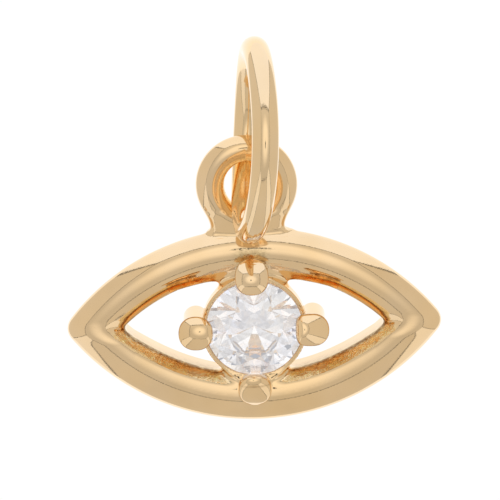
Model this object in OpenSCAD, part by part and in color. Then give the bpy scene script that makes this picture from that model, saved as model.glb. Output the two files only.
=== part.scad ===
// Eye charm: an almond-shaped gold frame of two domed lids, a round stone in a cup with four ball
// prongs, a soldered eyelet and a jump ring. Sizes in mm. The charm is drawn with its flat back on
// Z = 0, its front towards +Z and its eyelet towards +Y, and is laid down beside its ring at the end.

/* [Eye frame] */
// Width of the eye from tip to tip
eye_w = 12.5; // [8:0.1:24]
// Height of the eye over the outsides of its two lids
eye_h = 6.66; // [4:0.02:13]
// Length polished off the sharp end of each mitred tip
tip_off = 0.13; // [0.05:0.01:0.4]
// Radius of the rounded tip
tip_r = 0.62; // [0.3:0.02:1]
// Radius of the round front and outside of a lid's section
dome_r = 0.93; // [0.5:0.01:2]
// Distance from a lid's flat inner wall to the middle of that round
dome_in = 0.66; // [0.3:0.01:1.5]
// Height of the middle of that round above the flat back
dome_up = 0.91; // [0.3:0.01:1.5]

/* [Stone] */
// Diameter of the round stone at its girdle
stone_d = 3.2; // [1.5:0.05:6]
// Diameter of the table as a share of the stone's diameter
table_share = 0.57; // [0.5:0.01:0.65]
// Slope of the main crown facets in degrees
crown_angle = 34.5; // [30:0.5:38]
// Slope of the main pavilion facets in degrees
pavilion_angle = 39.8; // [38:0.1:43]
// Length of the star facets as a share of the way from the table to the girdle
star_share = 0.5; // [0.4:0.01:0.65]
// Length of the lower halves as a share of the way from the girdle to the point
lower_share = 0.77; // [0.6:0.01:0.85]
// Height of the girdle band
girdle_t = 0.08; // [0.04:0.01:0.2]
// Height of the stone's point above the flat back
culet_up = 0.13; // [0:0.01:1]

/* [Cup and prongs] */
// Thickness of the cup's rim round the girdle
rim_t = 0.135; // [0.08:0.005:0.4]
// Height of the cup from its foot to its rim
cup_h = 1.2; // [0.6:0.05:1.4]
// Height of the straight band below the rim
band_h = 0.5; // [0.1:0.05:0.8]
// Diameter of the cup's outside at its foot
cup_foot_d = 3.2; // [2:0.05:4]
// Diameter of the open hole behind the stone
cup_hole_d = 1.9; // [0.6:0.05:2.6]
// Diameter of each prong's post
post_d = 0.84; // [0.4:0.02:1.4]
// Diameter of the ball on each prong
ball_d = 1.1; // [0.6:0.02:2]
// Height of the middle of each ball above the flat back
ball_up = 2.04; // [1:0.01:4]
// Distance of the two side prongs from the stone's centre
side_prong = 1.94; // [1.2:0.01:3.5]
// Distance of the upper prong from the stone's centre
upper_prong = 1.9; // [1.2:0.01:3.5]
// Distance of the lower prong from the stone's centre
lower_prong = 2.02; // [1.2:0.01:3.5]

/* [Eyelet] */
// Diameter of the eyelet's wire
eyelet_wire = 0.86; // [0.4:0.02:1.6]
// Diameter of the eyelet's hole
eyelet_hole = 1.66; // [0.8:0.02:4]
// Distance from the eye's centre to the eyelet's centre
eyelet_reach = 4.82; // [3:0.02:9]
// How far the eyelet sits to the right of the eye's centre, negative to the left
eyelet_side = -0.14; // [-1:0.02:1]
// Height of the eyelet's wire above the flat back
eyelet_up = 0.96; // [0.4:0.02:1.6]
// Width of the eyelet's soldered foot where it meets the lid
foot_w = 2.92; // [1:0.02:5]
// Width of the foot's neck
neck_w = 2.52; // [1:0.02:4.5]
// Thickness of the foot from front to back
foot_t = 0.7; // [0.3:0.05:1.6]
// How far the foot reaches into the lid
foot_root = 0.4; // [0.2:0.02:0.8]
// Where the foot starts to narrow, measured inwards from the lid's outline
flare_in = 0.16; // [0:0.02:0.2]
// Where the flare has run out into the neck, measured outwards from the lid's outline
flare_out = 0.14; // [0.04:0.02:0.5]
// Length of the neck's straight sides
neck_length = 0.28; // [0.1:0.02:0.6]

/* [Jump ring] */
// Diameter of the jump ring's wire
ring_wire = 0.91; // [0.4:0.01:1.6]
// Diameter of the jump ring's opening
ring_hole = 5.03; // [2:0.01:10]
// Distance along the table from the eyelet's centre to the ring's centre
ring_out = 2.01; // [1:0.01:6]
// How far the ring's centre sits to the right of the eye's centre
ring_side = 0.15; // [-1:0.01:1]
// Lean of the standing ring to the right in degrees
ring_lean = 5.3; // [-10:0.1:10]
// Turn of the standing ring seen from above in degrees, negative is clockwise
ring_turn = -4.4; // [-10:0.1:10]

/* [Lying pose] */
// How far the eyelet's end is lifted by the ring below it, in degrees
lie_tilt = 3.7; // [0:0.1:10]

/* [Fits] */
// Gap between the stone and the metal round it
stone_gap = 0.02; // [0.01:0.01:0.1]

/* [Hidden] */
$fn = 180;
half_h = eye_h / 2;
lid_w = dome_in + dome_r;
// Radius of a lid's outer curve, through the eye's top and both sharp tips
sharp_x = eye_w / 2 + tip_off;
lid_r = (sharp_x * sharp_x + half_h * half_h) / (2 * half_h);
lid_drop = lid_r - half_h;
// Each lid's turn starts at this share of the mitre's angle, so it runs past the mitre plane,
// which then trims it
mitre_share = 0.6;
lid_turn = mitre_share * atan2(lid_drop, sharp_x);
// Middle of a rounded tip, and where its round leaves the lids
tip_x = eye_w / 2 - tip_r;
tip_from = tip_x + tip_r * cos(atan2(lid_drop, tip_x));
// Larger than any of the charm's sizes, for the blocks that cut it
past = 4 * eye_w;

stone_r = stone_d / 2;
table_r = stone_r * table_share;
girdle_low = culet_up + stone_r * tan(pavilion_angle);
girdle_top = girdle_low + girdle_t;
// The rim ends just below the top of the girdle
rim_up = girdle_top - stone_gap;
rim_r = stone_r + stone_gap + rim_t;
// The stone has 8 main facets on its crown and pavilion, so its girdle has 16 sides
mains = 8;
step = 360 / mains;
// Where the tips of the star facets and of the lower halves lie
star_r = table_r * cos(step / 2) * (1 - star_share) + stone_r * star_share;
lower_r = (1 - lower_share) * stone_r;

eyelet_r = (eyelet_hole + eyelet_wire) / 2;
// The foot starts inside the lid, flares where it leaves it and ends below the hole
foot_in = half_h - foot_root;
foot_flare = half_h - flare_in;
neck_low = half_h + flare_out;
neck_high = neck_low + neck_length;

ring_r = (ring_hole + ring_wire) / 2;
ring_up = ring_r * cos(ring_lean) + ring_wire / 2;
// Outermost edge of the lower lid's flat back, on which the tilted charm rests
back_edge = half_h - lid_w + dome_in + sqrt(dome_r * dome_r - dome_up * dome_up);
lift = back_edge * sin(lie_tilt);
eyelet_y = eyelet_reach * cos(lie_tilt) - eyelet_up * sin(lie_tilt);
ring_y = eyelet_y + ring_out;
// Ends of the laid charm along Y: the lower lid's outside and the ring's far side
near_y = -(half_h - dome_r) * cos(lie_tilt) - dome_up * sin(lie_tilt) - dome_r;
far_y = ring_y + ring_r * sqrt(1 - pow(cos(ring_lean) * sin(ring_turn), 2)) + ring_wire / 2;
row_y = -(near_y + far_y) / 2;

// A circle of points on the stone, at radius r and height h, turned by a degrees
function stone_ring(r, h, count, a) =
    [for (i = [0 : count - 1]) [r * cos(a + i * 360 / count), r * sin(a + i * 360 / count), h]];

// Section of a lid: a round front and outside, a flat inner wall on X = 0 and a flat back on Y = 0
module lid_section() {
    intersection() {
        translate([dome_in, dome_up]) circle(r = dome_r);
        square([past, past]);
    }
}

// The upper lid ends on the mitre plane Y = 0
module upper_lid() {
    intersection() {
        translate([0, -lid_drop, 0]) rotate([0, 0, lid_turn])
            rotate_extrude(angle = 180 - 2 * lid_turn)
                translate([lid_r - lid_w, 0]) lid_section();
        translate([-past / 2, 0, -past / 2]) cube([past, past, past]);
    }
}

// What is polished off the sharp end of the mitre to round the right tip
module tip_waste() {
    difference() {
        translate([tip_from, -half_h, -half_h]) cube([eye_h, eye_h, eye_h]);
        translate([tip_x, 0, -eye_h]) cylinder(h = 2 * eye_h, r = tip_r);
    }
}

module eye_frame() {
    difference() {
        for (turn = [0, 180]) rotate([0, 0, turn]) upper_lid();
        for (turn = [0, 180]) rotate([0, 0, turn]) tip_waste();
    }
}

module cup() {
    rotate_extrude() polygon([
        [0, rim_up - cup_h], [cup_foot_d / 2, rim_up - cup_h],
        [rim_r, rim_up - band_h], [rim_r, rim_up], [0, rim_up]
    ]);
}

module prong(x, y) {
    translate([x, y, 0]) {
        cylinder(h = ball_up, d = post_d);
        translate([0, 0, ball_up]) sphere(d = ball_d);
    }
}

module prongs() {
    prong(side_prong, 0);
    prong(-side_prong, 0);
    prong(0, upper_prong);
    prong(0, -lower_prong);
}

// Room for the stone with its gap all round, and the open hole behind it
module stone_room() {
    room_r = stone_r + stone_gap;
    seat = girdle_low - stone_gap - (room_r - cup_hole_d / 2) * tan(pavilion_angle);
    // The crown's side keeps half the gap, so the balls come close to the stone
    crown_up = girdle_top + stone_gap / 2 + (stone_r + stone_gap / 2) * tan(crown_angle);
    rotate_extrude() polygon([
        [0, -past], [cup_hole_d / 2, -past], [cup_hole_d / 2, seat],
        [room_r, girdle_low - stone_gap], [room_r, crown_up - room_r * tan(crown_angle)],
        [0, crown_up]
    ]);
}

module eyelet() {
    translate([eyelet_side, eyelet_reach, eyelet_up])
        rotate_extrude() translate([eyelet_r, 0]) circle(d = eyelet_wire);
    translate([eyelet_side, 0, eyelet_up - foot_t / 2])
        linear_extrude(height = foot_t) polygon([
            [-foot_w / 2, foot_in], [foot_w / 2, foot_in], [foot_w / 2, foot_flare],
            [neck_w / 2, neck_low], [neck_w / 2, neck_high],
            [-neck_w / 2, neck_high], [-neck_w / 2, neck_low], [-foot_w / 2, foot_flare]
        ]);
}

// Tips the charm about X so that it rests on its lower lid and its eyelet end is up
module laid() {
    translate([0, row_y, lift]) rotate([lie_tilt, 0, 0]) children();
}

module eye_body() {
    color([0.86, 0.68, 0.36]) laid() difference() {
        union() {
            eye_frame();
            cup();
            prongs();
            eyelet();
        }
        stone_room();
    }
}

// Round brilliant: table, stars, kites and upper halves above the girdle, lower halves and
// mains below it
module stone() {
    crown_h = (stone_r - table_r) * tan(crown_angle);
    star_h = (stone_r - star_r * cos(step / 2)) * tan(crown_angle);
    lower_h = lower_r * cos(step / 2) * tan(pavilion_angle);
    points = concat(
        stone_ring(table_r, girdle_top + crown_h, mains, 0),
        stone_ring(star_r, girdle_top + star_h, mains, step / 2),
        stone_ring(stone_r, girdle_top, 2 * mains, 0),
        stone_ring(stone_r, girdle_low, 2 * mains, 0),
        stone_ring(lower_r, culet_up + lower_h, mains, step / 2),
        [[0, 0, culet_up]]
    );
    // First point of each circle in the list above
    star = mains;
    upper = 2 * mains;
    under = 4 * mains;
    lower = 6 * mains;
    culet = 7 * mains;
    last = mains - 1;
    faces = concat(
        [[for (i = [last : -1 : 0]) i]],
        [for (i = [0 : last]) [i, (i + 1) % mains, star + i]],
        [for (i = [0 : last]) [i, star + i, upper + 2 * i, star + (i + last) % mains]],
        [for (i = [0 : last]) [upper + 2 * i, star + i, upper + 2 * i + 1]],
        [for (i = [0 : last]) [upper + 2 * i + 1, star + i, upper + (2 * i + 2) % (2 * mains)]],
        [for (i = [0 : 2 * mains - 1])
            [upper + i, upper + (i + 1) % (2 * mains), under + (i + 1) % (2 * mains), under + i]],
        [for (i = [0 : last]) [under + 2 * i, under + 2 * i + 1, lower + i]],
        [for (i = [0 : last]) [under + 2 * i + 1, under + (2 * i + 2) % (2 * mains), lower + i]],
        [for (i = [0 : last]) [under + 2 * i, lower + i, culet, lower + (i + last) % mains]]
    );
    color([0.93, 0.94, 0.97]) laid() polyhedron(points = points, faces = faces);
}

// The ring stands on the table through the eyelet, turned and leaning a little
module jump_ring() {
    color([0.88, 0.7, 0.38])
        translate([ring_side, row_y + ring_y, ring_up])
            rotate([0, 0, ring_turn]) rotate([0, 90 + ring_lean, 0])
                rotate_extrude() translate([ring_r, 0]) circle(d = ring_wire);
}

eye_body();
stone();
jump_ring();
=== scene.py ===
import math

import bmesh
import bpy
import numpy as np
from mathutils import Matrix, Vector


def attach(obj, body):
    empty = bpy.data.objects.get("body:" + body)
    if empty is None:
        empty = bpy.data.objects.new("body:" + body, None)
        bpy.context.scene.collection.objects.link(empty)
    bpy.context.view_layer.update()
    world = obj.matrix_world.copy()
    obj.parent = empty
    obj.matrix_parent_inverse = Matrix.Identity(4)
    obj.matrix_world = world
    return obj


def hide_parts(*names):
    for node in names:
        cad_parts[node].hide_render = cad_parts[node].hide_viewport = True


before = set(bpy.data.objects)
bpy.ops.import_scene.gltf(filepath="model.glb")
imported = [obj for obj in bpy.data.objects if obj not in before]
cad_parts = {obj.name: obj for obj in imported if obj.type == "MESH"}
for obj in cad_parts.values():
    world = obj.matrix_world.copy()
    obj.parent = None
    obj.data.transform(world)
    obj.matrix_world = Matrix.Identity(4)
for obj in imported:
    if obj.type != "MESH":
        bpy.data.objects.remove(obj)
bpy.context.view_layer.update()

# Eye frame
# Two domed lids of yellow gold, cast with flat backs and flat inner walls, mitred into each other
# at the tips and polished.

# Distances are in mm, in the charm's own frame: its flat back on z = 0, its front towards +z and
# its eyelet towards +y
eye_w, eye_h, lid_w = 12.5, 6.66, 1.59
# Length polished off each sharp tip
tip_off = 0.13
half_h = eye_h / 2
sharp_x = eye_w / 2 + tip_off
# Radius of a lid's outer curve, and how far its middle lies beyond the line through the tips
lid_r = (sharp_x ** 2 + half_h ** 2) / (2 * half_h)
lid_drop = lid_r - half_h
# A lid's section is four touching rounds: outside, crown, inner shoulder and inner flank. Per lid:
# how far outside its inner wall the crown is, how high it is, the rounds' radii, and the slopes in
# degrees, positive outwards, where one round passes into the next
upper_lid = dict(crown_out=0.77, crown_up=1.66, radii=(0.69, 1.0, 0.34, 1.9), slopes=(16.5, -5, -33))
lower_lid = dict(crown_out=0.70, crown_up=1.75, radii=(0.86, 1.0, 0.32, 2.0), slopes=(5, -17, -56))
# Below its widest place the outer round runs on as a straight bevel, this far off the vertical
bevel = math.radians(30)
# Width across the mitre over which the lower lid's section turns into the upper one's
lids_blend = 0.8
# Near the tips the inner wall is set back this far. At the middle of the eye each lid is fuller
# by its own amount, which fades out at its own distance to the left and right.
inner_wall = 0.045
upper_fuller, upper_reach = 0.14, 2.5
lower_fuller, lower_reach = 0.10, 4
# The section is shifted with the fuller wall, less and less over this width behind it
shifted_w = 0.6
# The mitre is rounded over this width inside. From this far out it grows by so much per mm, up to
# its width at the tips.
mitre_w, mitre_from, mitre_growth, mitre_tip_w = 0.14, 4.2, 0.11, 0.37
wall_fillet, back_fillet = 0.05, 0.22


def soft_min(a, b, k):
    """The nearer of two surfaces, with a fillet of about k where they meet."""
    h = np.maximum(k - np.abs(a - b), 0) / k
    return np.minimum(a, b) - h * h * k / 4


def soft_max(a, b, k):
    return -soft_min(-a, -b, k)


def rounds(out, z, crown_out, crown_up, radii, slopes):
    """Distance to a section of touching rounds, each taking over where the last one's slope ends."""
    away = [np.array([math.sin(math.radians(t)), math.cos(math.radians(t))]) for t in slopes]
    crown = np.array([crown_out, crown_up - radii[1]])
    outside = crown + (radii[1] - radii[0]) * away[0]
    shoulder = crown + (radii[1] - radii[2]) * away[1]
    flank = shoulder + (radii[2] - radii[3]) * away[2]
    middles = (outside, crown, shoulder, flank)
    far = [np.hypot(out - m[0], z - m[1]) - r for m, r in zip(middles, radii)]
    u, v = out - outside[0], z - outside[1]
    straight = u * math.cos(bevel) - v * math.sin(bevel) - radii[0]
    far[0] = np.where(u * math.sin(bevel) + v * math.cos(bevel) < 0, straight, far[0])

    def outward(middle, a):
        return (out - middle[0]) * a[1] - (z - middle[1]) * a[0] > 0

    d = np.where(outward(crown, away[0]), far[0], far[1])
    d = np.where(outward(crown, away[1]), d, far[2])
    return np.where(outward(shoulder, away[1]) | outward(shoulder, away[2]), d, far[3])


def inner_edge(x, y):
    """Where the inner wall stands, measured outwards from the inside of the lids' width."""
    upper = upper_fuller * np.clip(1 - (x / upper_reach) ** 2, 0, 1)
    lower = lower_fuller * np.clip(1 - (x / lower_reach) ** 6, 0, 1)
    return inner_wall - np.where(y > 0, upper, lower)


def lids(x, y, z):
    """Distance to the two lids. The mitre is rounded a little, more at the tips than inside."""
    edge = inner_edge(x, y)
    round_w = np.clip(mitre_w + mitre_growth * (np.abs(x) - mitre_from), mitre_w, mitre_tip_w)
    side = np.abs(y)
    side = np.where(side < round_w, (side ** 2 / round_w + round_w) / 2, side)
    out = np.hypot(x, side + lid_drop) - (lid_r - lid_w)
    share = np.clip(0.5 + y / lids_blend, 0, 1)
    share = share * share * (3 - 2 * share)
    even = out + (inner_wall - edge) * np.clip(1 - (out - edge) / shifted_w, 0, 1)
    d = rounds(even, z, **lower_lid) * (1 - share) + rounds(even, z, **upper_lid) * share
    return soft_max(soft_max(d, edge - out, wall_fillet), -z, back_fillet)


# Setting
# A thin-walled cup turned to take the stone up to its girdle, with four round posts soldered to
# it. Each post ends in a melted bead that was pushed over the stone's edge.
stone_r, girdle_low, girdle_high = 1.6, 1.4634, 1.5434
crown_slope, pavilion_slope = math.radians(34.5), math.radians(39.8)
# A hair's gap all round the stone
gap = 0.02
# The cup has a straight band below its rim, then a cone down to its foot, and an open hole
rim_r, rim_up, band_low = 1.755, 1.523, 1.023
cup_foot_r, cup_foot_up, cup_hole_r = 1.6, 0.323, 0.95
rim_fillet, cup_foot_fillet = 0.05, 0.14
post_far, post_r, post_fillet = 1.94, 0.42, 0.16
# All four beads were pushed over from below, so they are tipped towards the eyelet
bead_tip = math.radians(16.5)
# A bead's plan is about round outwards and its side fuller than round, where a power of 2 is round.
# It bulges this far below its middle, and its mean radius turns shares of its size into mm.
plan_power, side_power, bead_under, bead_r = 2.2, 3, 0.50, 0.5
worn_fillet, neck_fillet = 0.06, 0.08
# Per prong: its direction from the stone; its bead's middle; the bead's half widths inwards,
# outwards and across and its half height; how square it is inwards; how much its outer side falls
# away like a skirt; the crest of its worn dome sideways, up and in height; the dome's radii
# sideways and up
prongs = [
    dict(outward=(1, 0), middle=(1.939, 0.104, 2.24), half=(0.575, 0.55, 0.54, 0.47),
         square=3.8, skirt=0, crest=(-0.60, 0.007, 0.50), dome_r=(1.35, 0.56)),
    dict(outward=(0, 1), middle=(-0.047, 1.965, 2.24), half=(0.60, 0.65, 0.56, 0.80),
         square=2.3, skirt=0, crest=(-0.023, -0.086, 0.36), dome_r=(0.90, 0.61)),
    dict(outward=(-1, 0), middle=(-1.951, 0.080, 2.24), half=(0.575, 0.575, 0.565, 0.38),
         square=2.2, skirt=0, crest=(0.128, 0.045, 0.33), dome_r=(1.02, 0.64)),
    dict(outward=(0, -1), middle=(-0.037, -1.990, 1.95), half=(0.52, 0.53, 0.56, 1.00),
         square=2.6, skirt=1.75, crest=(-0.047, 0.376, 0.86), dome_r=(0.80, 0.66)),
]


def cup(x, y, z):
    r = np.hypot(x, y)
    slope = (rim_r - cup_foot_r) / (band_low - cup_foot_up)
    cone = (r - cup_foot_r - (z - cup_foot_up) * slope) / math.hypot(1, slope)
    wall = np.maximum(cone, r - rim_r)
    return soft_max(soft_max(wall, z - rim_up, rim_fillet), cup_foot_up - z, cup_foot_fillet)


def prong(x, y, z, outward, middle, half, square, skirt, crest, dome_r):
    """A post with a melted bead whose top was worn to a slanted dome when it was polished."""
    post = np.hypot(x - post_far * outward[0], y - post_far * outward[1]) - post_r
    post = np.maximum(soft_max(post, -z, post_fillet), z - middle[2])
    # u, v and h run to the right, upwards and out of the front of the tipped bead
    u, v, h = x - middle[0], y - middle[1], z - middle[2]
    v, h = (v * math.cos(bead_tip) - h * math.sin(bead_tip),
            v * math.sin(bead_tip) + h * math.cos(bead_tip))
    # q runs outwards from the stone and t across
    q, t = u * outward[0] + v * outward[1], v * outward[0] - u * outward[1]
    inwards, outwards, across, high = half
    n = np.where(q < 0, square, plan_power)
    plan = (np.abs(q) / np.where(q < 0, inwards, outwards)) ** n + (np.abs(t) / across) ** n
    plan = plan ** (1 / n)
    outer_share = np.clip(q / np.maximum(np.hypot(q, t), 0.01), 0, 1) ** 2
    m = np.where(h < 0, 2, side_power - skirt * outer_share)
    rise = np.abs(h) / np.where(h < 0, bead_under, high)
    bead = ((plan ** m + rise ** m) ** (1 / m) - 1) * bead_r
    du, dv = (u - crest[0]) / dome_r[0], (v - crest[1]) / dome_r[1]
    dome = h - crest[2] + (du * du * dome_r[0] + dv * dv * dome_r[1]) / 2
    worn = dome / np.sqrt(1 + du * du + dv * dv)
    return soft_min(post, soft_max(bead, worn, worn_fillet), neck_fillet)


def stone_room(x, y, z):
    """The hollow for the stone, with its gap all round, and the open hole behind it."""
    r = np.hypot(x, y)
    room_r = stone_r + gap
    low = ((r - room_r) * math.tan(pavilion_slope) + girdle_low - gap - z) * math.cos(pavilion_slope)
    top = girdle_high + gap / 2 + (stone_r + gap / 2) * math.tan(crown_slope)
    high = (z - top + r * math.tan(crown_slope)) * math.cos(crown_slope)
    room = np.maximum(np.maximum(r - room_r, low), high)
    return np.minimum(room, np.maximum(r - cup_hole_r, z - girdle_low))


# Eyelet
# A round loop of wire on a flared foot, soldered to the outside of the upper lid. The wire is a
# little thicker at the left, and the solder has spread into a thin pointed leaf round the foot.
eyelet_at = (-0.14, 4.82, 0.96)
eyelet_out_r, eyelet_wire_r, left_thicker = 1.69, 0.43, 0.045
# Half the width and thickness of the foot's neck, how much wider each side of it flares at the
# lid, and the height over which the flare fades
neck_half, foot_thick, flare, flare_fade = 1.20, 0.28, 0.1, 0.12
# The foot runs from this deep inside the lid to this far below the loop's middle
foot_root, foot_end = 0.35, 1.05
foot_round, foot_fillet, loop_web = 0.25, 0.1, 0.32
# The leaf's middle beside the loop's, its half length, half depth and half thickness
leaf_at, leaf_half, leaf_deep, leaf_thick = 0.083, 1.42, 0.40, 0.045
# How pointed its ends are, its mean half width, how deep it is sunk, and its fillets
leaf_power, leaf_mean, leaf_sunk, leaf_edge, leaf_fillet = 1.5, 0.3, 0.01, 0.03, 0.10
# The lid's curve is followed this far to each side of the eyelet
lid_near = 3


def eyelet(x, y, z):
    x, y, z = x - eyelet_at[0], y - eyelet_at[1], z - eyelet_at[2]
    left = np.clip(-x / np.maximum(np.hypot(x, y), 0.2), 0, 1)
    wire_r = eyelet_wire_r + left_thicker * left
    loop = np.hypot(np.hypot(x, y) - eyelet_out_r + wire_r, z) - wire_r
    lid_top = np.sqrt(lid_r ** 2 - np.clip(x, -lid_near, lid_near) ** 2) - lid_drop
    above_lid = y + eyelet_at[1] - lid_top
    width = neck_half + flare * np.exp(-np.maximum(above_lid, 0) / flare_fade)
    foot = soft_max(np.abs(x) - width, np.abs(z) - foot_thick, foot_round)
    foot = soft_max(foot, y + foot_end, foot_fillet)
    foot = soft_max(foot, -foot_root - above_lid, foot_fillet)
    pointed = (np.abs(x - leaf_at) / leaf_half) ** leaf_power + np.abs(z / leaf_deep) ** 2
    leaf = soft_max((pointed - 1) * leaf_mean, np.abs(above_lid + leaf_sunk) - leaf_thick, leaf_edge)
    return soft_min(soft_min(loop, foot, loop_web), leaf, leaf_fillet)


# Soldered body
# Lids, setting and eyelet are one piece of gold once soldered. So their distances are merged with
# the solder's webs and fillets, and one hand-polished skin is drawn round them.
cup_web, prong_fillet, eyelet_fillet, room_fillet = 0.42, 0.08, 0.12, 0.03


def body(p):
    x, y, z = p
    d = soft_min(lids(x, y, z), cup(x, y, z), cup_web)
    for one in prongs:
        d = soft_min(d, prong(x, y, z, **one), prong_fillet)
    d = soft_min(d, eyelet(x, y, z), eyelet_fillet)
    return soft_max(d, -stone_room(x, y, z), room_fillet)


def slope_of(shape, p, probe=0.003):
    """The direction in which the distance grows fastest at each point, not yet of length one."""
    ways = np.eye(3)[:, :, None] * probe
    return np.array([shape(p + d) - shape(p - d) for d in ways]) / (2 * probe)


def skin(shape, low, high, step, pushes=4, flattest=0.2):
    """Vertices, faces and normals of the surface where shape is 0, on a grid of that step in mm."""
    axes = [np.arange(a, b + step, step) for a, b in zip(low, high)]
    field = shape(np.array(np.meshgrid(*axes, indexing="ij")))
    solid = field < 0
    size = np.array(field.shape) - 1
    corners = [(i, j, k) for i in (0, 1) for j in (0, 1) for k in (0, 1)]

    def at(a, c):
        return a[c[0]:size[0] + c[0], c[1]:size[1] + c[1], c[2]:size[2] + c[2]]

    # One vertex in each cell that the surface passes, at the mean of where it cuts the cell's edges
    filled = sum(at(solid, c).astype(int) for c in corners)
    cell = np.argwhere((filled > 0) & (filled < len(corners)))
    ids = np.full(size, -1)
    ids[tuple(cell.T)] = np.arange(len(cell))
    place, hits = np.zeros(cell.shape), np.zeros(len(cell))
    for a in corners:
        for axis in range(3):
            if a[axis]:
                continue
            b = list(a)
            b[axis] = 1
            fa, fb = field[tuple((cell + a).T)], field[tuple((cell + b).T)]
            cut = (fa < 0) != (fb < 0)
            share = np.where(cut, fa / np.where(cut, fa - fb, 1), 0)
            point = np.array(a) + share[:, None] * (np.array(b) - a)
            place += np.where(cut[:, None], point, 0)
            hits += cut
    # Each vertex is pushed along the slope until it lies on the surface, and never by more than half
    # a step, also where the distance is nearly flat
    p = np.array(low)[:, None] + (cell + place / hits[:, None]).T * step
    for _ in range(pushes):
        g = slope_of(shape, p)
        move = shape(p) * g / np.maximum((g * g).sum(0), flattest)
        p = p - np.clip(move, -step / 2, step / 2)
    normal = slope_of(shape, p)
    normal /= np.linalg.norm(normal, axis=0)
    # One face across each grid edge that the surface cuts, joining the four cells round that edge
    faces = []
    for axis in range(3):
        u, v = np.eye(3, dtype=int)[[(axis + 1) % 3, (axis + 2) % 3]]
        ahead = np.eye(3, dtype=int)[axis]
        edge = np.argwhere(at(solid, (0, 0, 0)) != at(solid, ahead))
        edge = edge[(edge @ u > 0) & (edge @ v > 0)]
        quad = np.array([ids[tuple((edge - s).T)] for s in (0 * u, u, u + v, v)]).T
        inward = ~solid[tuple(edge.T)]
        quad[inward] = quad[inward][:, ::-1]
        faces.append(quad)
    return p.T, np.concatenate(faces), normal.T


# A millimetre in metres
mm = 0.001
# The charm lies on its back, tipped by the jump ring below its eyelet
lie_tilt = math.radians(3.7)
charm_y, charm_lift = -3.3953, 0.1741
laid = Matrix.Translation((0, charm_y, charm_lift)) @ Matrix.Rotation(lie_tilt, 4, "X")


def in_row(points):
    """Points in mm in the charm's own frame, moved to their place in the row frame in metres."""
    m = np.array(laid)
    return (np.asarray(points) @ m[:3, :3].T + m[:3, 3]) * mm


def calc(tree, operation, *inputs):
    """The result of a Math node fed with sockets or plain numbers."""
    node = tree.nodes.new("ShaderNodeMath")
    node.operation = operation
    for socket, value in zip(node.inputs, inputs):
        if isinstance(value, (int, float)):
            socket.default_value = value
        else:
            tree.links.new(value, socket)
    return node.outputs["Value"]


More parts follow.
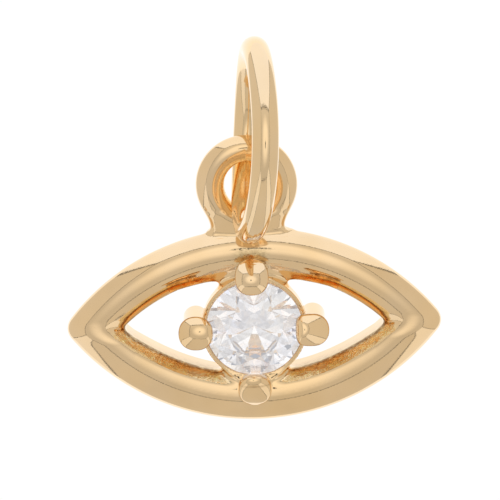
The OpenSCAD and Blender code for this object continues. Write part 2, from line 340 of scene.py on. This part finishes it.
def polish_effect():
    """Shader group: what hand polishing leaves on gold, as colour, roughness and a worn normal, with
    painted shade and a painted reflection tint mixed into the colour.
    """
    tree = bpy.data.node_groups.new("hand_polish", "ShaderNodeTree")
    face = tree.interface
    face.new_socket("Gold", in_out="INPUT", socket_type="NodeSocketColor")
    for name in ("Roughness", "Ripple", "Scratches", "Unpolished", "Stain"):
        face.new_socket(name, in_out="INPUT", socket_type="NodeSocketFloat")
    for name, kind in (("Color", "NodeSocketColor"), ("Roughness", "NodeSocketFloat"),
                       ("Normal", "NodeSocketVector")):
        face.new_socket(name, in_out="OUTPUT", socket_type=kind)
    new, link = tree.nodes.new, tree.links.new
    given, result = new("NodeGroupInput"), new("NodeGroupOutput")
    where = new("ShaderNodeTexCoord")

    def noise(scale, detail, stretch=(1, 1, 1), turn=0.0):
        spread = new("ShaderNodeMapping")
        spread.inputs["Scale"].default_value = stretch
        spread.inputs["Rotation"].default_value = (0, 0, turn)
        link(where.outputs["Object"], spread.inputs["Vector"])
        n = new("ShaderNodeTexNoise")
        n.inputs["Scale"].default_value = scale
        n.inputs["Detail"].default_value = detail
        link(spread.outputs["Vector"], n.inputs["Vector"])
        return n.outputs["Fac"]

    def fit(value, low, high):
        """Noise lies mostly between 0.3 and 0.7. This stretches it to run from low to high."""
        m = new("ShaderNodeMapRange")
        m.inputs["From Min"].default_value = 0.3
        m.inputs["From Max"].default_value = 0.7
        m.inputs["To Min"].default_value = low
        m.inputs["To Max"].default_value = high
        link(value, m.inputs["Value"])
        return m.outputs["Result"]

    def mixed(how, factor, base, layer):
        node = new("ShaderNodeMix")
        node.data_type, node.blend_type = "RGBA", how
        for name, value in (("Factor", factor), ("A", base), ("B", layer)):
            if isinstance(value, (int, float, tuple)):
                node.inputs[name].default_value = value
            else:
                link(value, node.inputs[name])
        return node.outputs["Result"]

    def bump(depth, strength, height, under=None):
        node = new("ShaderNodeBump")
        node.inputs["Distance"].default_value = depth
        link(given.outputs[strength], node.inputs["Strength"])
        link(height, node.inputs["Height"])
        if under:
            link(under, node.inputs["Normal"])
        return node.outputs["Normal"]

    tone = new("ShaderNodeHueSaturation")
    link(given.outputs["Gold"], tone.inputs["Color"])
    link(fit(noise(700, 3), 0.965, 1.035), tone.inputs["Value"])
    link(fit(noise(450, 2), 0.94, 1.06), tone.inputs["Saturation"])
    # The casting's raw skin is blotchy and rough. Its yellower colour is a painted reflection tint,
    # standing in for the golden-yellow reflections inside the eyelet
    raw_gold_and_reflection_tint, raw_share = (1.0, 0.83, 0.45, 1), 0.7
    share = calc(tree, "MULTIPLY", given.outputs["Unpolished"], raw_share)
    raw = mixed("MIX", share, tone.outputs["Color"], raw_gold_and_reflection_tint)
    blots = calc(tree, "MULTIPLY_ADD", given.outputs["Unpolished"], fit(noise(6500, 3), -0.18, 0.24), 1.0)
    blotchy = mixed("MULTIPLY", 1.0, raw, blots)
    # Painted shade: brown mixed into the colour in patches, standing in for the darker reflections in
    # corners, along edges and round the beads
    shade_brown = (0.36, 0.21, 0.09, 1)
    patches = calc(tree, "MULTIPLY", given.outputs["Stain"], fit(noise(7000, 3), 0.55, 1.35))
    patches.node.use_clamp = True
    link(mixed("MIX", patches, blotchy, shade_brown), result.inputs["Color"])

    raw_dullness = 0.22
    rubbed = calc(tree, "MULTIPLY", given.outputs["Roughness"], fit(noise(1500, 4), 0.7, 1.5))
    dull = calc(tree, "MULTIPLY_ADD", given.outputs["Unpolished"], raw_dullness, rubbed)
    link(dull, result.inputs["Roughness"])

    # The wheel leaves soft ripples and fine lines, and the grain of the casting where it can't reach
    ripple_deep, line_deep, grain_deep = 0.0001, 0.00001, 0.000024
    line_stretch, line_turn = (1, 14, 3), 0.5
    ripples = bump(ripple_deep, "Ripple", noise(900, 1))
    lines = bump(line_deep, "Scratches", noise(4000, 2, line_stretch, line_turn), ripples)
    grain = bump(grain_deep, "Unpolished", noise(8000, 3), lines)
    link(grain, result.inputs["Normal"])
    return tree


polish = polish_effect()


def gold(name, colour, roughness, ripple, scratches, **marks):
    """A polished gold with its own tone and wear, and marks that the mesh's attributes place, painted
    shade and a painted reflection tint among them.
    """
    m = bpy.data.materials.new(name)
    m.use_nodes = True
    new, link = m.node_tree.nodes.new, m.node_tree.links.new
    shader = m.node_tree.nodes["Principled BSDF"]
    shader.inputs["Metallic"].default_value = 1.0
    effect = new("ShaderNodeGroup")
    effect.node_tree = polish
    effect.inputs["Gold"].default_value = (*colour, 1)
    effect.inputs["Roughness"].default_value = roughness
    effect.inputs["Ripple"].default_value = ripple
    effect.inputs["Scratches"].default_value = scratches
    for mark, attribute in marks.items():
        where = new("ShaderNodeAttribute")
        where.attribute_name = attribute
        link(where.outputs["Fac"], effect.inputs[mark])
    link(effect.outputs["Color"], shader.inputs["Base Color"])
    link(effect.outputs["Roughness"], shader.inputs["Roughness"])
    link(effect.outputs["Normal"], shader.inputs["Normal"])
    return m


body_low, body_high, grid_step = (-6.42, -3.52, -0.14), (6.42, 6.64, 2.78), 0.058
points, faces, normals = skin(body, body_low, body_high, grid_step)
mesh = bpy.data.meshes.new("soldered_body")
mesh.from_pydata(in_row(points).tolist(), [], faces.tolist())
mesh.validate()
mesh.shade_smooth()
mesh.normals_split_custom_set_from_vertices((normals @ np.array(laid)[:3, :3].T).tolist())


def ramp(value, start, steep):
    """A mask that is 0 at start and climbs to 1, towards smaller values where steep is negative."""
    return np.clip((value - start) * steep, 0, 1)


x, y, z = points.T
lid_in = np.hypot(x, np.abs(y) + lid_drop) - (lid_r - lid_w)
on_lid = ramp(np.abs(lids(x, y, z)), 0.045, -1 / 0.03)
# The polishing wheel doesn't get between the upper bead and the eyelet
behind = np.exp(-((x + 0.05) / 0.5) ** 4) * ramp(y, 1.95, 4) * ramp(y, 2.85, -4) * (z > 1)
# Nor does it reach far down the lids' inner flanks, though deeper towards the upper lid's tips
faces_in = -(normals * np.stack([x, y + np.sign(y) * lid_drop, 0 * x], 1)).sum(1) / lid_r
deeper = 0.30 * (y > 0) * ramp(np.abs(x), 1.6, 0.5)
inner_part, front_part = ramp(lid_in, 0.75, -5) * ramp(lid_in, -0.25, 8), ramp(z, 0.95, 4)
flanks = ramp(faces_in - deeper, 0.45, 5) * inner_part * front_part
# Nor the inside of the eyelet, which gets half the raw skin: its roughness, and its yellower colour as a
# painted reflection tint
loop_x, loop_y = x - eyelet_at[0], y - eyelet_at[1]
loop_far = np.maximum(np.hypot(loop_x, loop_y), 0.1)
to_axis = -(normals[:, 0] * loop_x + normals[:, 1] * loop_y) / loop_far
in_loop = ramp(to_axis, 0.55, 6) * (loop_far < 1.2)
# The raw skin mask also carries the painted yellow reflection tint
casting_skin = np.maximum(np.maximum(flanks, 0.8 * behind) * on_lid, 0.5 * in_loop)
# Painted shade: brown painted in a line along the inner edge, at the top of the lower inner wall, behind
# the upper bead, and round the sides of all beads but the lowest, whose side lies open and shows bright,
# where the reflections fall dark
from_edge = np.abs(lid_in - inner_edge(x, y))
edge_line = ramp(from_edge, 0.08, -20) * ramp(z, 1.08, 12) * on_lid
lower_half, not_at_tips = ramp(y, 0, -4), ramp(np.abs(x), 5, -0.3)
wall_top = ramp(from_edge, 0.036, -1 / 0.03) * ramp(z, 0.5, 1.6) * lower_half * not_at_tips
fire_stain = np.maximum(np.maximum(edge_line, 0.5 * wall_top), 0.55 * behind * on_lid)
tipped = normals @ (0, math.sin(bead_tip), math.cos(bead_tip))
bead_side = ramp(tipped, 0.45, -6) * ramp(tipped, -0.3, 6)
for one in prongs[:3]:
    near = np.linalg.norm(points - one["middle"], axis=1)
    fire_stain = np.maximum(fire_stain, bead_side * ramp(near, 0.85, -5))
mesh.attributes.new("casting_skin", "FLOAT", "POINT").data.foreach_set("value", casting_skin)
mesh.attributes.new("fire_stain", "FLOAT", "POINT").data.foreach_set("value", fire_stain)
soldered_body = bpy.data.objects.new("soldered_body", mesh)
bpy.context.collection.objects.link(soldered_body)
mesh.materials.append(gold("cast_gold", (0.93, 0.68, 0.40), roughness=0.05, ripple=0.03, scratches=0.05,
                           Unpolished="casting_skin", Stain="fire_stain"))
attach(soldered_body, "root")
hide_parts("eye_body")

# Stone
# A round brilliant, cut and polished from a clear crystal: table, stars, kites and upper halves
# on the crown, lower halves and mains down to the point. It lies loose in the cup under the beads.
table_r = 0.912
mains = 8
# The blank that it is ground from
blank_sides, blank_high, blank_mid = 96, 3, 1.3
# How much steeper the halves and how much flatter the stars are than the main facets
upper_steeper, lower_steeper, star_flatter = math.radians(5.6), math.radians(0.9), math.radians(12.5)
# The halves are cut a hair into the girdle
half_r = stone_r * 0.999


def cut_stone():
    """Grinds the facets one after the other off a round blank, as a cutter does."""
    bm = bmesh.new()
    bmesh.ops.create_cone(bm, cap_ends=True, segments=blank_sides, radius1=stone_r, radius2=stone_r,
                          depth=blank_high)
    bmesh.ops.translate(bm, verts=bm.verts, vec=(0, 0, blank_mid))

    def grind(turn, slope, radius, height):
        """A flat facet through (radius, height), facing turn degrees round and sloping from level."""
        a = math.radians(turn)
        out = Vector((math.sin(slope) * math.cos(a), math.sin(slope) * math.sin(a), math.cos(slope)))
        at = Vector((radius * math.cos(a), radius * math.sin(a), height))
        bmesh.ops.bisect_plane(bm, geom=bm.verts[:] + bm.edges[:] + bm.faces[:], plane_co=at,
                               plane_no=out, clear_outer=True, dist=1e-7)
        rim = [e for e in bm.edges if e.is_boundary]
        if rim:
            bmesh.ops.holes_fill(bm, edges=rim, sides=0)

    step = 360 / mains
    table_up = girdle_high + (stone_r - table_r) * math.tan(crown_slope)
    grind(0, 0, 0, table_up)
    for i in range(mains):
        grind(step * i, crown_slope, stone_r, girdle_high)
        grind(step * i, math.pi - pavilion_slope, stone_r, girdle_low)
    for i in range(2 * mains):
        turn = step * (i + 0.5) / 2
        grind(turn, crown_slope + upper_steeper, half_r, girdle_high)
        grind(turn, math.pi - pavilion_slope - lower_steeper, half_r, girdle_low)
    star_in = table_r * math.cos(math.pi / mains)
    for i in range(mains):
        grind(step * (i + 0.5), crown_slope - star_flatter, star_in, table_up)
    bmesh.ops.dissolve_degenerate(bm, dist=1e-5, edges=bm.edges)
    bmesh.ops.recalc_face_normals(bm, faces=bm.faces)
    mesh = bpy.data.meshes.new("brilliant")
    bm.to_mesh(mesh)
    bm.free()
    mesh.transform(Matrix.Scale(mm, 4) @ laid)
    return mesh


def clear_crystal():
    """Clear and bright, with painted fire and a painted glow: cool and warm tints that change over the
    stone stand in for its fire, and a faint bluish glow brightens it.
    """
    m = bpy.data.materials.new("clear_crystal")
    m.use_nodes = True
    nodes, link = m.node_tree.nodes, m.node_tree.links.new
    shader = nodes["Principled BSDF"]
    shader.inputs["Transmission Weight"].default_value = 1.0
    # Painted light: the stone glows faintly bluish white, which brightens it
    shader.inputs["Emission Color"].default_value = (0.9, 0.92, 1.0, 1)
    shader.inputs["Emission Strength"].default_value = 0.05
    shader.inputs["Roughness"].default_value = 0.0
    shader.inputs["IOR"].default_value = 2.4
    where = nodes.new("ShaderNodeTexCoord")
    # Painted fire: noise tints the colour cool and warm over the stone, standing in for its dispersion
    fire_tint_noise = nodes.new("ShaderNodeTexNoise")
    fire_tint_noise.inputs["Scale"].default_value = 900
    fire_tint_noise.inputs["Detail"].default_value = 2
    tint = nodes.new("ShaderNodeValToRGB")
    cool, warm = tint.color_ramp.elements
    cool.position, cool.color = 0.35, (0.80, 0.80, 0.86, 1)
    warm.position, warm.color = 0.65, (0.90, 0.885, 0.87, 1)
    link(where.outputs["Object"], fire_tint_noise.inputs["Vector"])
    link(fire_tint_noise.outputs["Fac"], tint.inputs["Fac"])
    link(tint.outputs["Color"], shader.inputs["Base Color"])
    return m


brilliant = bpy.data.objects.new("brilliant", cut_stone())
bpy.context.collection.objects.link(brilliant)
brilliant.data.materials.append(clear_crystal())
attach(brilliant, "root")
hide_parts("stone")

# Jump ring
# A closed ring of round gold wire, wound on a rod, soldered shut and polished. It passes through
# the eyelet and stands on the surface beside it, turned and leaning a little.
ring_mid = (0.15, 3.2900, 3.4180)
ring_turn, ring_lean = math.radians(-4.4), math.radians(90 + 5.3)
ring_r, ring_wire_r = 2.961, 0.448
# It was opened and shut by hand, so it is a little oval and warped
oval, oval_turn, warp = 0.07, math.radians(45), 0.07


def wire_ring_tree():
    """A closed ring of round wire, with its oval and its warp."""
    tree = bpy.data.node_groups.new("wire_ring", "GeometryNodeTree")
    face = tree.interface
    for name in ("Ring radius", "Wire radius", "Oval", "Oval turn", "Warp"):
        face.new_socket(name, in_out="INPUT", socket_type="NodeSocketFloat")
    face.new_socket("Metal", in_out="INPUT", socket_type="NodeSocketMaterial")
    face.new_socket("Geometry", in_out="OUTPUT", socket_type="NodeSocketGeometry")
    new, link = tree.nodes.new, tree.links.new
    given, result = new("NodeGroupInput"), new("NodeGroupOutput")
    path = new("GeometryNodeCurvePrimitiveCircle")
    path.inputs["Resolution"].default_value = 160
    link(given.outputs["Ring radius"], path.inputs["Radius"])
    wire = new("GeometryNodeCurvePrimitiveCircle")
    wire.inputs["Resolution"].default_value = 48
    link(given.outputs["Wire radius"], wire.inputs["Radius"])

    along = new("GeometryNodeSplineParameter")
    angle = calc(tree, "MULTIPLY", along.outputs["Factor"], 2 * math.pi)
    from_oval = calc(tree, "SUBTRACT", angle, given.outputs["Oval turn"])
    stretch = calc(tree, "COSINE", calc(tree, "MULTIPLY", from_oval, 2))
    stretch = calc(tree, "MULTIPLY", stretch, given.outputs["Oval"])
    lift = calc(tree, "COSINE", calc(tree, "MULTIPLY", angle, 2))
    offset = new("ShaderNodeCombineXYZ")
    link(calc(tree, "MULTIPLY", calc(tree, "COSINE", angle), stretch), offset.inputs["X"])
    link(calc(tree, "MULTIPLY", calc(tree, "SINE", angle), stretch), offset.inputs["Y"])
    link(calc(tree, "MULTIPLY", lift, given.outputs["Warp"]), offset.inputs["Z"])
    shift = new("GeometryNodeSetPosition")
    link(path.outputs["Curve"], shift.inputs["Geometry"])
    link(offset.outputs["Vector"], shift.inputs["Offset"])

    sweep = new("GeometryNodeCurveToMesh")
    link(shift.outputs["Geometry"], sweep.inputs["Curve"])
    link(wire.outputs["Curve"], sweep.inputs["Profile Curve"])
    smooth = new("GeometryNodeSetShadeSmooth")
    link(sweep.outputs["Mesh"], smooth.inputs["Geometry"])
    real = new("GeometryNodeRealizeInstances")
    link(smooth.outputs["Geometry"], real.inputs["Geometry"])
    coat = new("GeometryNodeSetMaterial")
    link(real.outputs["Geometry"], coat.inputs["Geometry"])
    link(given.outputs["Metal"], coat.inputs["Material"])
    link(coat.outputs["Geometry"], result.inputs["Geometry"])
    return tree


def grown(name, tree, **values):
    """The plain mesh that a Geometry Nodes tree makes from these named inputs."""
    seed = bpy.data.objects.new(name + "_seed", bpy.data.meshes.new(name + "_seed"))
    bpy.context.collection.objects.link(seed)
    mod = seed.modifiers.new("grow", "NODES")
    mod.node_group = tree
    for socket in tree.interface.items_tree:
        if socket.in_out == "INPUT" and socket.name.replace(" ", "_") in values:
            mod[socket.identifier] = values[socket.name.replace(" ", "_")]
    ready = seed.evaluated_get(bpy.context.evaluated_depsgraph_get())
    made = bpy.data.meshes.new_from_object(ready)
    bpy.data.objects.remove(seed)
    return made


drawn_gold = gold("drawn_gold", (0.93, 0.69, 0.41), roughness=0.05, ripple=0.015, scratches=0.08)
ring_mesh = grown("jump_ring_wire", wire_ring_tree(), Ring_radius=ring_r * mm,
                  Wire_radius=ring_wire_r * mm, Oval=oval * mm, Oval_turn=oval_turn,
                  Warp=warp * mm, Metal=drawn_gold)
ring_mesh.transform(Matrix.Translation(Vector(ring_mid) * mm)
                    @ Matrix.Rotation(ring_turn, 4, "Z") @ Matrix.Rotation(ring_lean, 4, "Y"))
ring = bpy.data.objects.new("jump_ring_wire", ring_mesh)
bpy.context.collection.objects.link(ring)
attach(ring, "root")
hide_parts("jump_ring")

# Surface, light tent and camera
# The charm lies on a glowing white sheet inside a cubic light tent of white cloth. The camera
# looks in through the middle of one wall, square to the tent, a little off the vertical.

# From here on distances are in metres
lean_back, roll = math.radians(12.8), math.radians(-1.5)
tent = Matrix.Rotation(-lean_back, 4, "X") @ Matrix.Rotation(roll, 4, "Z")
right, up, to_camera = (Vector(tent.col[i][:3]) for i in range(3))
# Width of the view at the charm, and the camera's distance from it
view_w, camera_far = 0.01662, 0.7
# The eye's middle, in mm in the charm's own frame, lies this far right of and below the
# picture's middle
eye_middle = (0, 0, 0.96)
eye_right, eye_below = 0.000143, 0.0024335
aim = Vector(in_row(eye_middle)) - right * eye_right + up * eye_below

camera = bpy.data.objects.new("camera", bpy.data.cameras.new("camera"))
bpy.context.collection.objects.link(camera)
camera.data.sensor_width = 36
camera.data.lens = camera.data.sensor_width * camera_far / view_w
camera.data.clip_start, camera.data.clip_end = 0.01, 10
camera.matrix_world = Matrix.Translation(aim + to_camera * camera_far) @ tent
scene = bpy.context.scene
scene.camera = camera
# The standard view keeps the cloth white, and light in the stone needs many bounces
scene.view_settings.view_transform = "Standard"
scene.cycles.max_bounces = 24
scene.cycles.transmission_bounces = 24
scene.cycles.glossy_bounces = 8


def glow(name, strength, colour=(1, 1, 1)):
    """Cloth evenly lit from behind."""
    m = bpy.data.materials.new(name)
    m.use_nodes = True
    nodes = m.node_tree.nodes
    nodes.clear()
    shine, out = nodes.new("ShaderNodeEmission"), nodes.new("ShaderNodeOutputMaterial")
    shine.inputs["Color"].default_value = (*colour, 1)
    shine.inputs["Strength"].default_value = strength
    m.node_tree.links.new(shine.outputs["Emission"], out.inputs["Surface"])
    return m


def front_glow():
    """The front wall's cloth, brighter in a round spot by the camera and towards its top."""
    plain, spot, top_rise = 0.63, 1.06, 0.12
    spot_mid, spot_r = (0, 0.02, 0), 0.15
    rise_from, rise_to = -0.02, 0.2
    m = glow("front_cloth", plain, (1.0, 0.98, 0.94))
    tree = m.node_tree
    new, link = tree.nodes.new, tree.links.new

    def eased(value, start, end, first, last):
        node = new("ShaderNodeMapRange")
        node.interpolation_type = "SMOOTHSTEP"
        for name, number in (("From Min", start), ("From Max", end), ("To Min", first), ("To Max", last)):
            node.inputs[name].default_value = number
        link(value, node.inputs["Value"])
        return node.outputs["Result"]

    where, far, height = (new("ShaderNodeTexCoord"), new("ShaderNodeVectorMath"),
                          new("ShaderNodeSeparateXYZ"))
    far.operation = "DISTANCE"
    far.inputs[1].default_value = spot_mid
    link(where.outputs["Object"], far.inputs[0])
    link(where.outputs["Object"], height.inputs["Vector"])
    fall = eased(far.outputs["Value"], 0.3 * spot_r, spot_r, spot, plain)
    climb = eased(height.outputs["Y"], rise_from, rise_to, 0, top_rise)
    link(calc(tree, "ADD", fall, climb), tree.nodes["Emission"].inputs["Strength"])
    return m


def card(name, middle, side_u, side_v, material):
    """A flat rectangle in the tent's frame, from its middle and its two half sides."""
    mesh = bpy.data.meshes.new(name)
    a, b = Vector(side_u), Vector(side_v)
    mesh.from_pydata([-a - b, a - b, a + b, b - a], [], [(0, 1, 2, 3)])
    mesh.materials.append(material)
    made = bpy.data.objects.new(name, mesh)
    made.matrix_world = Matrix.Translation(aim) @ tent @ Matrix.Translation(Vector(middle))
    bpy.context.collection.objects.link(made)
    made.visible_camera = False
    return made


# Half the tent's height and half its width, and how far its front wall is from the charm
half, side_half = 0.20, 0.18
front = 1.20 * half
# Middle and half depth of the side walls and the bottom wall, towards the camera
wall_mid, wall_deep = 0.09 * half, 1.09 * half
white, cream, sky = (1.0, 1.0, 1.0), (1.0, 0.965, 0.90), (0.97, 1.01, 1.10)
card("wall_front", (0, 0, front), (0.96 * side_half, 0, 0), (0, 0.95 * half, 0), front_glow())
lens = card("lens", (0, 0, front * 0.98), (0.0105, 0, 0), (0, 0.013, 0), glow("dark_lens", 0.01))
lens.visible_transmission = False
card("wall_top", (0, half, 0.07 * half), (0.97 * side_half, 0, 0), (0, 0, 1.07 * half),
     glow("top_cloth", 1.06, sky))
for name, side, strength in (("left", -1, 0.74), ("right", 1, 0.72)):
    card("wall_" + name, (side * side_half, 0.17 * half, wall_mid), (0, 0.80 * half, 0),
         (0, 0, wall_deep), glow(name + "_cloth", strength, cream))
card("wall_bottom", (0, -half, wall_mid), (0.58 * half, 0, 0), (0, 0, wall_deep),
     glow("bottom_cloth", 0.68, cream))
card("wall_back", (0, 0, -half), (half, 0, 0), (0, half, 0), glow("back_cloth", 1.10, white))
# A brighter lamp slants across each lower corner
for name, side in (("lamp_left", -1), ("lamp_right", 1)):
    card(name, (side * 0.75 * half, -0.83 * half, wall_mid), (0.14 * half, side * 0.17 * half, 0),
         (0, 0, wall_deep), glow(name + "_glow", 0.92, white))

sheet_half = 0.35
sheet_mesh = bpy.data.meshes.new("white_sheet")
bm = bmesh.new()
bmesh.ops.create_grid(bm, x_segments=8, y_segments=8, size=sheet_half)
bm.to_mesh(sheet_mesh)
bm.free()
white_sheet = bpy.data.objects.new("white_sheet", sheet_mesh)
bpy.context.collection.objects.link(white_sheet)
sheet_mesh.materials.append(glow("sheet_glow", 1.02))
white_sheet.visible_glossy = False

world = bpy.data.worlds.new("tent_world")
world.use_nodes = True
world.node_tree.nodes["Background"].inputs["Color"].default_value = (*white, 1)
world.node_tree.nodes["Background"].inputs["Strength"].default_value = 0.22
scene.world = world
